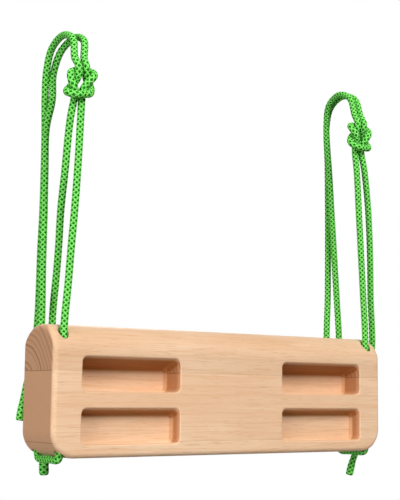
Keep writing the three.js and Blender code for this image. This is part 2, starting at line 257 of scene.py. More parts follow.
class HangboardLook(bpy.types.PropertyGroup):
    """Colours of the finishes"""

    beech_light: finish(
        "Light Beech", "Light wood between the grain lines", (0.955, 0.815, 0.68))
    beech_warm: finish("Warm Beech", "Warmer wood in the growth rings", (0.90, 0.72, 0.56))
    beech_fleck: finish("Beech Fleck", "Small dark flecks along the grain", (0.74, 0.545, 0.37))
    end_grain: finish("End Grain", "Browner wood where the grain ends", (0.835, 0.64, 0.49))
    cord_light: finish("Light Strands", "Light strands of the braid", (0.58, 1.0, 0.475))
    cord_dark: finish(
        "Dark Strands", "Dark diamonds between the light strands", (0.0, 0.5, 0.01))
    floor: finish("Floor", "Colour of the floor", (0.8, 0.8, 0.8))


class HangboardStudio(bpy.types.PropertyGroup):
    """Floor and light"""

    floor_drop: distance(
        "Floor Drop", "From the board's underside down to the floor", 1.2, 0.05)
    sky: FloatProperty(
        name="Sky", description="Strength of the light from above", default=0.35, min=0)
    ground: FloatProperty(
        name="Ground", description="Strength of the light from below", default=0.0, min=0)
    key: power("Key", "Power of the main lamp", 66.5)
    fill: power("Fill", "Power of the second lamp", 34)
    back: power("Back", "Power of the lamp behind the board", 26)


def linear(colour):
    """A colour with an alpha of 1, from display values to the values that shaders use."""
    return (*(c / 12.92 if c <= 0.04045 else ((c + 0.055) / 1.055) ** 2.4 for c in colour), 1)


def placed_object(name, data):
    """A new object in the scene."""
    item = bpy.data.objects.new(name, data)
    bpy.context.scene.collection.objects.link(item)
    return item


def evaluated_mesh(item):
    """The mesh of an object with its modifiers applied."""
    bpy.context.view_layer.update()
    evaluated = item.evaluated_get(bpy.context.evaluated_depsgraph_get())
    return bpy.data.meshes.new_from_object(evaluated)


def taken_mesh(name, shape):
    """A mesh from a finished bmesh, which is freed."""
    mesh = bpy.data.meshes.new(name)
    shape.to_mesh(mesh)
    shape.free()
    return mesh


# Node helpers, for shader trees and geometry trees alike

def feed(tree, value, socket):
    """Links a socket, or writes a plain value."""
    if isinstance(value, bpy.types.NodeSocket):
        tree.links.new(value, socket)
    else:
        socket.default_value = value


def maths(tree, operation, *values):
    node = tree.nodes.new("ShaderNodeMath")
    node.operation = operation
    for value, socket in zip(values, node.inputs):
        feed(tree, value, socket)
    return node.outputs[0]


def vector_maths(tree, operation, *values):
    node = tree.nodes.new("ShaderNodeVectorMath")
    node.operation = operation
    for value, socket in zip(values, node.inputs):
        feed(tree, value, socket)
    return node


def mixed(tree, share, first, second):
    """One colour passing into another."""
    node = tree.nodes.new("ShaderNodeMix")
    node.data_type = "RGBA"
    feed(tree, share, node.inputs[0])
    feed(tree, first, node.inputs[6])
    feed(tree, second, node.inputs[7])
    return node.outputs[2]


def smooth_step(tree, value, low, high):
    """From 0 at low to 1 at high, with soft ends."""
    node = tree.nodes.new("ShaderNodeMapRange")
    node.interpolation_type = "SMOOTHSTEP"
    feed(tree, value, node.inputs[0])
    feed(tree, low, node.inputs[1])
    feed(tree, high, node.inputs[2])
    return node.outputs[0]


def noise(tree, vector, scale, detail=2.0, roughness=0.5):
    node = tree.nodes.new("ShaderNodeTexNoise")
    feed(tree, vector, node.inputs["Vector"])
    node.inputs["Scale"].default_value = scale
    node.inputs["Detail"].default_value = detail
    node.inputs["Roughness"].default_value = roughness
    return node.outputs[0]


def new_group(name, kind, inputs, outputs):
    """A node group with named sockets, as (tree, the inputs by name, the output node)."""
    tree = bpy.data.node_groups.new(name, kind)
    for label, socket_type in inputs:
        tree.interface.new_socket(name=label, in_out="INPUT", socket_type=socket_type)
    for label, socket_type in outputs:
        tree.interface.new_socket(name=label, in_out="OUTPUT", socket_type=socket_type)
    group_in = tree.nodes.new("NodeGroupInput")
    group_out = tree.nodes.new("NodeGroupOutput")
    return tree, group_in.outputs, group_out


def placed_group(material, group, values):
    node = material.node_tree.nodes.new("ShaderNodeGroup")
    node.node_tree = group
    for label, value in values.items():
        feed(material.node_tree, value, node.inputs[label])
    return node.outputs


def new_material(name, colour, roughness):
    """A material with its Principled shader, and the tree that it is in."""
    material = bpy.data.materials.new(name)
    material.use_nodes = True
    material.diffuse_color = colour
    shader = material.node_tree.nodes["Principled BSDF"]
    shader.inputs["Roughness"].default_value = roughness
    return material, material.node_tree, shader


def bumped(tree, height, distance, shader):
    node = tree.nodes.new("ShaderNodeBump")
    node.inputs["Distance"].default_value = distance
    feed(tree, height, node.inputs["Height"])
    tree.links.new(node.outputs["Normal"], shader.inputs["Normal"])


# Braid pattern. Across and along count half diamonds, so that lines of constant a run along
# one family of strands and lines of constant b along the other. A strand's height swings both
# ways as it passes over and under, and a diamond falls off with the square of the way to its
# rim. HEIGHT_ON_RADIUS is the height that lies on the radius of the cord.
YARNS_IN_STRAND = 4
STRAND_ROUNDNESS = 0.8
WEAVE_SWING = 0.22
DIAMOND_HEIGHT = 0.42
DIAMOND_FALL = -1.2
HEIGHT_ON_RADIUS = 0.75
# Painted shade: the lowest parts of the dark diamonds pass into this near-black green.
HOLLOW_SHADE_GREEN = (0.002, 0.045, 0.004, 1)


def place_on_braid(tree, across_x, across_y, length, given):
    """A place on the sheath in half diamonds: round the cord, and along it."""
    angle = maths(tree, "ARCTAN2", across_y, across_x)
    across = maths(tree, "MULTIPLY", maths(tree, "DIVIDE", angle, math.tau), given["Columns"])
    return across, maths(tree, "DIVIDE", length, given["Pitch"])


def braid_pattern(tree, across, along):
    """Height of the strands, 1 in the dark diamonds between them, and the wave of the yarns."""
    a = maths(tree, "ADD", across, along)
    b = maths(tree, "SUBTRACT", across, along)

    def family(own, other, turn):
        cell = maths(tree, "FLOOR", own)
        light = maths(tree, "FLOORED_MODULO", cell, 2.0)
        offset = maths(tree, "SUBTRACT", maths(tree, "SUBTRACT", own, cell), 0.5)
        crown = maths(
            tree, "COSINE", maths(tree, "MULTIPLY", offset, math.pi * STRAND_ROUNDNESS))
        pair = maths(tree, "FLOOR", maths(tree, "MULTIPLY", own, 0.5))
        phase = maths(tree, "MULTIPLY", maths(tree, "SUBTRACT", other, 1.5), math.pi / 2)
        half_turns = maths(tree, "MULTIPLY_ADD", pair, math.pi, turn)
        lift = maths(tree, "COSINE", maths(tree, "ADD", phase, half_turns))
        woven = maths(tree, "MULTIPLY_ADD", lift, WEAVE_SWING, 1 - WEAVE_SWING)
        height = maths(tree, "MULTIPLY", crown, woven)
        return light, maths(tree, "MULTIPLY", height, light), offset

    light_a, height_a, offset_a = family(a, b, 0.0)
    light_b, height_b, offset_b = family(b, a, math.pi)
    strands = maths(tree, "MAXIMUM", height_a, height_b)
    dark = maths(tree, "SUBTRACT", 1.0, maths(tree, "MAXIMUM", light_a, light_b))
    reach = maths(
        tree, "MAXIMUM", maths(tree, "ABSOLUTE", offset_a), maths(tree, "ABSOLUTE", offset_b))
    dimple = maths(
        tree, "MULTIPLY_ADD", maths(tree, "MULTIPLY", reach, reach), DIAMOND_FALL, DIAMOND_HEIGHT)
    height = maths(tree, "MAXIMUM", strands, maths(tree, "MULTIPLY", dark, dimple))
    yarn_a, yarn_b = (
        maths(tree, "SINE", maths(tree, "MULTIPLY", own, math.tau * YARNS_IN_STRAND))
        for own in (a, b))
    a_on_top = maths(tree, "GREATER_THAN", height_a, height_b)
    yarn_choice = maths(tree, "MULTIPLY", maths(tree, "SUBTRACT", yarn_a, yarn_b), a_on_top)
    return height, dark, maths(tree, "ADD", yarn_choice, yarn_b)


def sheath_tree():
    """Geometry nodes: a braided tube along a curve, with its place on the sheath stored."""
    tree, given, group_out = new_group(
        "Braided Sheath", "GeometryNodeTree",
        [("Centre Line", "NodeSocketGeometry"), ("Radius", "NodeSocketFloat"),
         ("Step", "NodeSocketFloat"), ("Sides", "NodeSocketInt"), ("Columns", "NodeSocketFloat"),
         ("Pitch", "NodeSocketFloat"), ("Ridge", "NodeSocketFloat"),
         ("Material", "NodeSocketMaterial")],
        [("Sheath", "NodeSocketGeometry")])
    nodes, links = tree.nodes, tree.links

    resample = nodes.new("GeometryNodeResampleCurve")
    resample.mode = "LENGTH"
    links.new(given["Centre Line"], resample.inputs["Curve"])
    links.new(given["Step"], resample.inputs["Length"])

    def capture(source, kind, value):
        node = nodes.new("GeometryNodeCaptureAttribute")
        node.domain = "POINT"
        node.capture_items.new(kind, "Value")
        links.new(source, node.inputs[0])
        links.new(value, node.inputs[1])
        return node.outputs[0], node.outputs[1]

    here = nodes.new("GeometryNodeInputPosition").outputs[0]
    walked_length = nodes.new("GeometryNodeSplineParameter").outputs["Length"]
    line, centre = capture(resample.outputs[0], "VECTOR", here)
    line, length = capture(line, "FLOAT", walked_length)

    circle = nodes.new("GeometryNodeCurvePrimitiveCircle")
    links.new(given["Sides"], circle.inputs["Resolution"])
    links.new(given["Radius"], circle.inputs["Radius"])
    profile, spot = capture(circle.outputs["Curve"], "VECTOR", here)

    sweep = nodes.new("GeometryNodeCurveToMesh")
    links.new(line, sweep.inputs["Curve"])
    links.new(profile, sweep.inputs["Profile Curve"])
    sweep.inputs["Fill Caps"].default_value = True
    links.new(nodes.new("GeometryNodeInputRadius").outputs[0], sweep.inputs["Scale"])

    round_cord = nodes.new("ShaderNodeSeparateXYZ")
    links.new(vector_maths(tree, "NORMALIZE", spot).outputs[0], round_cord.inputs[0])
    across, along = place_on_braid(
        tree, round_cord.outputs[0], round_cord.outputs[1], length, given)
    height = braid_pattern(tree, across, along)[0]

    from_centre = vector_maths(tree, "SUBTRACT", here, centre).outputs[0]
    outwards = vector_maths(tree, "NORMALIZE", from_centre)
    above = maths(tree, "SUBTRACT", height, HEIGHT_ON_RADIUS)
    rise = maths(tree, "MULTIPLY", above, given["Ridge"])
    offset = vector_maths(tree, "SCALE", outwards.outputs[0])
    links.new(rise, offset.inputs["Scale"])
    shaped = nodes.new("GeometryNodeSetPosition")
    links.new(sweep.outputs[0], shaped.inputs["Geometry"])
    links.new(offset.outputs[0], shaped.inputs["Offset"])

    place = nodes.new("ShaderNodeCombineXYZ")
    links.new(round_cord.outputs[0], place.inputs[0])
    links.new(round_cord.outputs[1], place.inputs[1])
    links.new(length, place.inputs[2])
    stored = nodes.new("GeometryNodeStoreNamedAttribute")
    stored.data_type = "FLOAT_VECTOR"
    stored.domain = "POINT"
    stored.inputs["Name"].default_value = "sheath"
    links.new(shaped.outputs[0], stored.inputs["Geometry"])
    links.new(place.outputs[0], stored.inputs["Value"])

    realised = nodes.new("GeometryNodeRealizeInstances")
    finished = nodes.new("GeometryNodeSetMaterial")
    links.new(stored.outputs[0], realised.inputs[0])
    links.new(realised.outputs[0], finished.inputs["Geometry"])
    links.new(given["Material"], finished.inputs["Material"])
    links.new(finished.outputs[0], group_out.inputs[0])
    return tree


def braid_group():
    """Shader group: colour and height of the braid, from the place stored on the sheath, with
    painted shade down the flanks of the strands and in the hollows of the diamonds.
    """
    tree, given, group_out = new_group(
        "Braid", "ShaderNodeTree",
        [("Columns", "NodeSocketFloat"), ("Pitch", "NodeSocketFloat"),
         ("Light", "NodeSocketColor"), ("Dark", "NodeSocketColor")],
        [("Colour", "NodeSocketColor"), ("Height", "NodeSocketFloat")])
    stored = tree.nodes.new("ShaderNodeAttribute")
    stored.attribute_name = "sheath"
    place = tree.nodes.new("ShaderNodeSeparateXYZ")
    tree.links.new(stored.outputs["Vector"], place.inputs[0])
    height, dark, yarn = braid_pattern(tree, *place_on_braid(tree, *place.outputs[:3], given))
    here = tree.nodes.new("ShaderNodeTexCoord").outputs["Object"]
    worn = noise(tree, here, 900.0, 3.0)
    # Painted shade: each strand keeps its light colour on its crown and turns a darker green down
    # its flanks and where it dips under the other strands.
    crown = smooth_step(tree, height, 0.3, 0.88)
    flank_shade = mixed(tree, 0.60, given["Light"], given["Dark"])
    shade = mixed(tree, crown, flank_shade, given["Light"])
    dulled = maths(tree, "MULTIPLY_ADD", worn, 0.5, -0.12)
    fibre = maths(tree, "MULTIPLY_ADD", yarn, 0.08, dulled)
    strand = mixed(tree, fibre, shade, given["Dark"])
    # Painted shade: the dark diamonds turn near-black where they lie lowest.
    hollow_shade = smooth_step(tree, height, DIAMOND_HEIGHT, 0.1)
    diamond = mixed(tree, hollow_shade, given["Dark"], HOLLOW_SHADE_GREEN)
    tree.links.new(mixed(tree, dark, strand, diamond), group_out.inputs["Colour"])
    ribbed = maths(tree, "MULTIPLY_ADD", yarn, 0.06, height)
    tree.links.new(ribbed, group_out.inputs["Height"])
    return tree


def cord_material(look, sizes):
    """Woven sheath: light strands that cross, with dark diamonds between them."""
    light = linear(look.cord_light)
    material, tree, shader = new_material("Braided cord", light, 0.72)
    out = placed_group(material, braid_group(), {
        "Columns": float(sizes.columns), "Pitch": sizes.braid_pitch,
        "Light": light, "Dark": linear(look.cord_dark)})
    tree.links.new(out["Colour"], shader.inputs["Base Color"])
    shader.inputs["Specular IOR Level"].default_value = 0.05
    bumped(tree, out["Height"], 0.0004, shader)
    return material


# Noises of the beech, in cycles per metre along the grain and across it
WANDER_GRAIN = (5.0, 22.0)
BROAD_GRAIN = (7.0, 30.0)
FIBRE_GRAIN = (45.0, 2600.0)
FLECK_GRAIN = (70.0, 1250.0)
STREAK_GRAIN = (19.0, 600.0)
PORE_GRAIN = (1500.0, 1500.0)
RING_DRIFT = 0.009

# Where the painted shade in the pockets fades in: behind the front, before the full depth, short of
# the board's ends, and above its underside. Each goes from none to all.
POCKET_SHADE_BEHIND_FRONT = (0.0, 0.006)
POCKET_SHADE_DEPTH = (0.032, 0.028)
POCKET_SHADE_ENDS = (0.0, 0.003)
POCKET_SHADE_ABOVE_UNDERSIDE = (0.006, 0.009)
# Tint of the painted shade in the pockets
POCKET_SHADE_TINT = (0.58, 0.39, 0.215)
POCKETS_REACH = 0.178
FRONT_SKIN = 0.002

RING_TINT = (0.5, 0.38, 0.3)
GLUE_BROWN = (0.16, 0.07, 0.03, 1)


def beech_group():
    """Shader group: colour and height of planed beech, with its grain along X, and painted shade in
    its pockets.
    """
    tree, given, group_out = new_group(
        "Beech Grain and Pocket Shade", "ShaderNodeTree",
        [("Pith", "NodeSocketVector"), ("Ring Spacing", "NodeSocketFloat"),
         ("Ring Strength", "NodeSocketFloat"), ("Pockets Reach", "NodeSocketFloat"),
         ("Front", "NodeSocketFloat"), ("Underside", "NodeSocketFloat"),
         ("Light", "NodeSocketColor"), ("Warm", "NodeSocketColor"), ("Fleck", "NodeSocketColor"),
         ("End", "NodeSocketColor"), ("Lower Seam", "NodeSocketFloat"),
         ("Upper Seam", "NodeSocketFloat")],
        [("Colour", "NodeSocketColor"), ("Height", "NodeSocketFloat")])
    coordinates = tree.nodes.new("ShaderNodeTexCoord")
    here = vector_maths(tree, "SUBTRACT", coordinates.outputs["Object"], given["Pith"]).outputs[0]

    def grain(cycles, detail=2.0, roughness=0.5):
        along, across = cycles
        place = vector_maths(tree, "MULTIPLY", here, (along, across, across)).outputs[0]
        return noise(tree, place, 1.0, detail, roughness)

    wander = grain(WANDER_GRAIN)
    drift = maths(tree, "MULTIPLY", maths(tree, "SUBTRACT", wander, 0.5), RING_DRIFT)
    flat = vector_maths(tree, "MULTIPLY", here, (0.0, 1.0, 1.0)).outputs[0]
    radius = maths(tree, "ADD", vector_maths(tree, "LENGTH", flat).outputs["Value"], drift)
    rings_out = maths(tree, "DIVIDE", radius, given["Ring Spacing"])
    late = maths(tree, "POWER", maths(tree, "FRACT", rings_out), 4.0)
    one_ring = tree.nodes.new("ShaderNodeTexWhiteNoise")
    one_ring.noise_dimensions = "1D"
    feed(tree, maths(tree, "FLOOR", rings_out), one_ring.inputs["W"])
    squared = maths(tree, "POWER", one_ring.outputs["Value"], 2.0)
    uneven = maths(tree, "MULTIPLY_ADD", squared, 0.9, 0.1)

    normal = tree.nodes.new("ShaderNodeSeparateXYZ")
    tree.links.new(coordinates.outputs["Normal"], normal.inputs[0])
    facing_end = smooth_step(tree, maths(tree, "ABSOLUTE", normal.outputs[0]), 0.35, 0.75)
    facing_side = smooth_step(tree, maths(tree, "ABSOLUTE", normal.outputs[1]), 0.5, 0.12)
    end_face = maths(tree, "MULTIPLY", facing_end, facing_side)

    fibre = grain(FIBRE_GRAIN, 3.0, 0.6)
    fleck = smooth_step(tree, grain(FLECK_GRAIN, 1.0), 0.60, 0.72)
    streak = smooth_step(tree, grain(STREAK_GRAIN), 0.46, 0.70)
    patches = maths(tree, "MULTIPLY", smooth_step(tree, grain(BROAD_GRAIN), 0.3, 0.7), 0.5)
    tone = maths(tree, "MULTIPLY_ADD", late, 0.32, patches)
    long_grain = mixed(tree, tone, given["Light"], given["Warm"])
    for mark, strength, paint in (
            (streak, 0.62, "Warm"), (fleck, 0.30, "Fleck"), (fibre, 0.12, "Fleck")):
        share = maths(tree, "MULTIPLY", mark, strength)
        long_grain = mixed(tree, share, long_grain, given[paint])

    pores = smooth_step(tree, grain(PORE_GRAIN, 1.0), 0.50, 0.70)
    lines = maths(tree, "MULTIPLY", maths(tree, "MULTIPLY", late, uneven), given["Ring Strength"])
    rings = maths(tree, "MULTIPLY_ADD", pores, 0.22, lines)
    browner = vector_maths(tree, "MULTIPLY", given["End"], RING_TINT).outputs[0]
    cut_grain = mixed(tree, rings, given["End"], browner)
    colour = mixed(tree, end_face, long_grain, cut_grain)

    spot = tree.nodes.new("ShaderNodeSeparateXYZ")
    tree.links.new(coordinates.outputs["Object"], spot.inputs[0])
    to_seams = (
        maths(tree, "ABSOLUTE", maths(tree, "SUBTRACT", spot.outputs[2], given[label]))
        for label in ("Lower Seam", "Upper Seam"))
    seam = smooth_step(tree, maths(tree, "MINIMUM", *to_seams), 0.0005, 0.0001)
    glue = maths(tree, "MULTIPLY", seam, maths(tree, "MULTIPLY_ADD", end_face, 0.5, 0.03))
    colour = mixed(tree, glue, colour, GLUE_BROWN)

    # Painted shade in the pockets: a tint darkens their wood, most on the ceilings that face down,
    # less on the side walls and only a little on the back walls and ledges.
    from_front = maths(tree, "SUBTRACT", spot.outputs[1], given["Front"])
    from_middle = maths(tree, "ABSOLUTE", spot.outputs[0])
    from_reach = maths(tree, "SUBTRACT", given["Pockets Reach"], from_middle)
    from_under = maths(tree, "SUBTRACT", spot.outputs[2], given["Underside"])
    inside = smooth_step(tree, from_front, *POCKET_SHADE_BEHIND_FRONT)
    for place, edge in (
            (from_front, POCKET_SHADE_DEPTH), (from_reach, POCKET_SHADE_ENDS),
            (from_under, POCKET_SHADE_ABOVE_UNDERSIDE)):
        inside = maths(tree, "MULTIPLY", inside, smooth_step(tree, place, *edge))
    looks_up = smooth_step(tree, normal.outputs[2], 0.3, 0.8)
    looks_down = smooth_step(tree, normal.outputs[2], -0.05, -0.5)
    looks_along = smooth_step(tree, maths(tree, "ABSOLUTE", normal.outputs[0]), 0.05, 0.45)
    pocket_shade = maths(tree, "MULTIPLY", inside, maths(tree, "MULTIPLY_ADD", looks_up, -0.5, 1.0))
    walls = maths(tree, "MULTIPLY_ADD", looks_along, 0.53, 0.13)
    faces = maths(tree, "MULTIPLY_ADD", looks_down, 0.85, walls)
    pocket_shade = maths(tree, "MULTIPLY", pocket_shade, faces)
    shaded_in_pocket = vector_maths(tree, "MULTIPLY", colour, POCKET_SHADE_TINT).outputs[0]
    colour = mixed(tree, pocket_shade, colour, shaded_in_pocket)
    tree.links.new(colour, group_out.inputs["Colour"])

    relief = maths(tree, "MULTIPLY_ADD", fleck, -0.4, maths(tree, "MULTIPLY", fibre, 0.6))
    tree.links.new(maths(tree, "MULTIPLY_ADD", seam, -1.0, relief), group_out.inputs["Height"])
    return tree


# Pith of each stave's tree, from the middle of the board, the width and the strength of its
# growth rings, and its brightness
STAVE_GRAIN = {
    "lower_stave": ((0.0, 0.05, -0.13), 0.0062, 0.1, 1.0),
    "middle_stave": ((0.0, 0.06, -0.14), 0.0075, 0.08, 1.0),
    "upper_stave": ((0.0, 0.03, 0.004), 0.0056, 1.6, 0.93),
}


def stave_material(name, look, group, seams):
    """Sanded beech with a satin surface."""
    pith, spacing, strength, brightness = STAVE_GRAIN[name]

    def toned(colour):
        return (*(part * brightness for part in linear(colour)[:3]), 1)

    light = toned(look.beech_light)
    material, tree, shader = new_material(f"Beech {name.split('_')[0]}", light, 0.5)
    out = placed_group(material, group, {
        "Pith": BOARD_MIDDLE + Vector(pith), "Ring Spacing": spacing, "Ring Strength": strength,
        "Pockets Reach": POCKETS_REACH, "Front": BOARD_LOW.y + FRONT_SKIN,
        "Underside": BOARD_LOW.z, "Light": light, "Warm": toned(look.beech_warm),
        "Fleck": toned(look.beech_fleck), "End": toned(look.end_grain),
        "Lower Seam": seams[0], "Upper Seam": seams[1]})
    tree.links.new(out["Colour"], shader.inputs["Base Color"])
    shader.inputs["Specular IOR Level"].default_value = 0.08
    bumped(tree, out["Height"], 0.00012, shader)
    return material


# Cords

def bight(knot, points, from_left):
    """Points of one bight in its knot's place, from its left leg to its right one or back."""
    x, y, z = knot
    placed = [(x + across, y - out, z + up) for across, out, up in points]
    return placed if from_left else placed[::-1]


def bar_bend(bend, bar_height, from_rear):
    """Points of one crossing of the bar, half a turn from one side of it to the other."""
    across, rear, front, rise = bend
    points = []
    for index, x in enumerate(across):
        turn = math.pi * index / (len(across) - 1)
        angle = turn if from_rear else math.pi - turn
        y = (rear + front) / 2 + math.cos(angle) * (rear - front) / 2
        points.append((x, y, bar_height + rise * math.sin(angle)))
    return points


def route_points(route, side, sizes, board):
    """All points of one cord, and where its three pieces part inside the holes."""
    hole_x = side * (BOARD_SIZE.x / 2 - board.hole_from_end)
    hole_y = BOARD_SIZE.y / 2 - board.hole_from_face
    upper = bight(route["knot"], route["upper_bight"], side < 0)
    lower = bight(route["knot"], route["lower_bight"], side > 0)
    rear = [
        *route["rear_tail"], *bar_bend(route["outer_bend"], sizes.bar_height, True), *upper,
        *bar_bend(route["inner_bend"], sizes.bar_height, False), *route["rear_strand"],
        route["back_mouth"]]
    through = [
        (hole_x, hole_y, 0), *((hole_x, y, z) for y, z in UNDER_CORD),
        (hole_x, -UNDER_CORD[0][0], UNDER_CORD[0][1]), (hole_x, -hole_y, 0)]
    front = [route["front_mouth"], *route["front_strand"], *lower, *route["front_tail"]]
    points = [Vector(point) for point in (*rear, *through, *front)]
    return points, len(rear) - 1, len(rear) + len(through)


def smooth_span(before, start, end, after, share):
    """A point between start and end on the centripetal spline through all four."""
    first, middle, last = (
        max((q - p).length, 1e-9) ** 0.5 for p, q in ((before, start), (start, end), (end, after)))
    here = (end - start) / middle
    leave = (start - before) / first - (end - before) / (first + middle) + here
    arrive = here - (after - start) / (middle + last) + (after - end) / last
    leave *= middle
    arrive *= middle
    curve = 3 * (end - start) - 2 * leave - arrive
    bend = 2 * (start - end) + leave + arrive
    return start + share * (leave + share * (curve + share * bend))


def smooth_line(points, spans=24):
    """Points close together on the smooth line through the given ones, spans to each gap."""
    padded = [2 * points[0] - points[1], *points, 2 * points[-1] - points[-2]]
    line = []
    for index in range(len(points) - 1):
        four = padded[index:index + 4]
        line += [smooth_span(*four, step / spans) for step in range(spans)]
    return [*line, points[-1]]


def walked(line):
    """Length along a line up to each of its points."""
    return np.concatenate(([0], np.cumsum([(q - p).length for p, q in zip(line, line[1:])])))


def even_line(line, spacing):
    """The same line with its points evenly spaced."""
    lengths = walked(line)
    count = max(2, round(lengths[-1] / spacing) + 1)
    stations = np.linspace(0, lengths[-1], count)
    return [Vector(row) for row in np.column_stack([
        np.interp(stations, lengths, [point[axis] for point in line]) for axis in range(3)])]


# Shape of a cut and melted cord end: the share of its flare at a share of a radius from the tip
TIP_DISTANCE_SHARES = (0, 0.06, 0.2, 0.5, 1.0, 3.2, 4.8)
TIP_FLARE_SHARES = (-2.5, -0.6, 0.3, 0.9, 1.0, 0.9, 0.0)


def tip_radius(distance, radius, flare):
    """The share of the radius that the cord has near a flared tip."""
    share = float(np.interp(distance / radius, TIP_DISTANCE_SHARES, TIP_FLARE_SHARES))
    return 1 + (flare * share if share > 0 else 0.07 * share)


def sheath_piece(name, line, tips, sizes, tree, material):
    """One stretch of cord as a braided tube on its centre line."""
    radius = sizes.diameter / 2
    data = bpy.data.curves.new(name, "CURVE")
    data.dimensions = "3D"
    spline = data.splines.new("POLY")
    spline.points.add(len(line) - 1)
    lengths = walked(line)
    for point, place, length in zip(spline.points, line, lengths):
        point.co = (*place, 1)
        at_start = tip_radius(length, radius, tips[0]) if tips[0] else 1.0
        at_end = tip_radius(lengths[-1] - length, radius, tips[1]) if tips[1] else 1.0
        point.radius = at_start * at_end
    source = placed_object(name + "_line", data)
    modifier = source.modifiers.new("Sheath", "NODES")
    modifier.node_group = tree
    values = {
        "Radius": radius, "Step": sizes.step, "Sides": sizes.sides,
        "Columns": float(sizes.columns), "Pitch": sizes.braid_pitch, "Ridge": sizes.ridge,
        "Material": material}
    for item in tree.interface.items_tree:
        if item.in_out == "INPUT" and item.name in values:
            modifier[item.identifier] = values[item.name]
    mesh = evaluated_mesh(source)
    mesh.name = name
    bpy.data.objects.remove(source)
    mesh.shade_smooth()
    return placed_object(name, mesh)


# How far inside the holes the pieces of a cord part, down from the mouth, and the spacing of
# the points on their centre lines
PART_BELOW_MOUTH = 0.012
LINE_SPACING = 0.0005


def make_cord(side, route, sizes, board, tree, material):
    """One cord in three pieces: behind and over the bar, through the board, and in front."""
    name = "left" if side < 0 else "right"
    points, back, front = route_points(route, side, sizes, board)
    line = [point + BOARD_MIDDLE for point in smooth_line(points)]
    spans = (len(line) - 1) // (len(points) - 1)
    mouth = (BOARD_MIDDLE.z + route["back_mouth"][2]) - PART_BELOW_MOUTH
    back_part = next(i for i in range(back * spans, len(line)) if line[i].z < mouth)
    front_part = next(i for i in range(front * spans, 0, -1) if line[i].z < mouth)
    rear_line = even_line(line[:back_part + 1], LINE_SPACING)
    through_line = even_line(line[back_part:front_part + 1], LINE_SPACING)
    front_line = even_line(line[front_part:], LINE_SPACING)

    rear_tips, front_tips = (route["tip_flares"][0], 0), (0, route["tip_flares"][1])
    rear = sheath_piece(f"{name}_rear_cord", rear_line, rear_tips, sizes, tree, material)
    through = sheath_piece(f"{name}_through_cord", through_line, (0, 0), sizes, tree, material)
    front = sheath_piece(f"{name}_front_cord", front_line, front_tips, sizes, tree, material)
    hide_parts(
        f"{name}_rear_tail", f"{name}_outer_bar_bend", f"{name}_upper_bight",
        f"{name}_inner_bar_bend", f"{name}_rear_strand")
    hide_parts(f"{name}_back_hole_cord", f"{name}_under_cord", f"{name}_front_hole_cord")
    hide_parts(f"{name}_front_strand", f"{name}_lower_bight", f"{name}_front_tail")
    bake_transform(rear)
    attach(through, "board_and_cords")
    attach(front, "board_and_cords")


# Board

def quarter_turn(steps):
    return [math.pi / 2 * step / steps for step in range(steps + 1)]


def rounded_outline(left, right, bottom, top, bottom_radius, top_radius, steps):
    """A rounded rectangle as pairs, from its lower left corner on through its lower right one."""
    corners = (
        (left + bottom_radius, bottom + bottom_radius, bottom_radius),
        (right - bottom_radius, bottom + bottom_radius, bottom_radius),
        (right - top_radius, top - top_radius, top_radius),
        (left + top_radius, top - top_radius, top_radius))
    pairs = []
    for corner, (across, up, radius) in enumerate(corners):
        for turn in quarter_turn(steps):
            angle = math.pi + corner * math.pi / 2 + turn
            pairs.append((across + radius * math.cos(angle), up + radius * math.sin(angle)))
    return pairs


def edge_fall(distance_in, radius):
    """How far a round edge falls back from its flat face, at a distance in from the other face."""
    reach = max(0.0, radius - distance_in)
    return radius - math.sqrt(max(0.0, radius * radius - reach * reach))


def loft(name, rings):
    """Joins rings of points, each with the same count, into one closed skin."""
    shape = bmesh.new()
    rows = [[shape.verts.new(point) for point in ring] for ring in rings]
    for row, following in zip(rows, rows[1:]):
        for index in range(len(row)):
            after = (index + 1) % len(row)
            shape.faces.new((row[index], row[after], following[after], following[index]))
    shape.faces.new(rows[0])
    shape.faces.new(rows[-1])
    bmesh.ops.recalc_face_normals(shape, faces=shape.faces)
    return taken_mesh(name, shape)


# Faces in a quarter turn of each rounding, and the overrun of every cut
ROUND_STEPS = 10
EDGE_STEPS = 40
CORNER_STEPS = 28
CUT_OVERRUN = 0.004


def top_surface(board, y):
    """Height of the board's top at a place across its depth."""
    half = BOARD_SIZE / 2
    return half.z - edge_fall(half.y - abs(y), board.top_edge_radius)


def bottom_surface(board, x, y):
    """Height of the board's underside, which rises at the two lower corners."""
    half = BOARD_SIZE / 2
    inset = edge_fall(half.y - abs(y), board.edge_radius)
    rise = edge_fall(half.x - inset - abs(x), board.lower_corner_radius - inset)
    return inset + rise - half.z


def board_block(board):
    """The whole board as one block, drawn in towards its front and back by its round edges."""
    half = BOARD_SIZE / 2
    wide = [board.top_edge_radius * (1 - math.sin(turn)) for turn in quarter_turn(EDGE_STEPS)]
    narrow = [board.edge_radius * (1 - math.sin(turn)) for turn in quarter_turn(ROUND_STEPS)[1:-1]]
    behind = [half.y - from_face for from_face in sorted(wide + narrow)]
    rings = []
    for y in behind + [-y for y in reversed(behind)]:
        inset = edge_fall(half.y - abs(y), board.edge_radius)
        outline = rounded_outline(
            inset - half.x, half.x - inset, inset - half.z, top_surface(board, y),
            board.lower_corner_radius - inset, board.upper_corner_radius - inset, CORNER_STEPS)
        rings.append([(across, y, up) for across, up in outline])
    return loft("board", rings)


def rim_profile(radius):
    """A rounded rim as pairs: how far into the cut, and how much wider the cut is there."""
    steps = [
        (radius * (1 - math.cos(turn)), radius * (1 - math.sin(turn)))
        for turn in quarter_turn(ROUND_STEPS)]
    return [(-CUT_OVERRUN, radius), *steps]


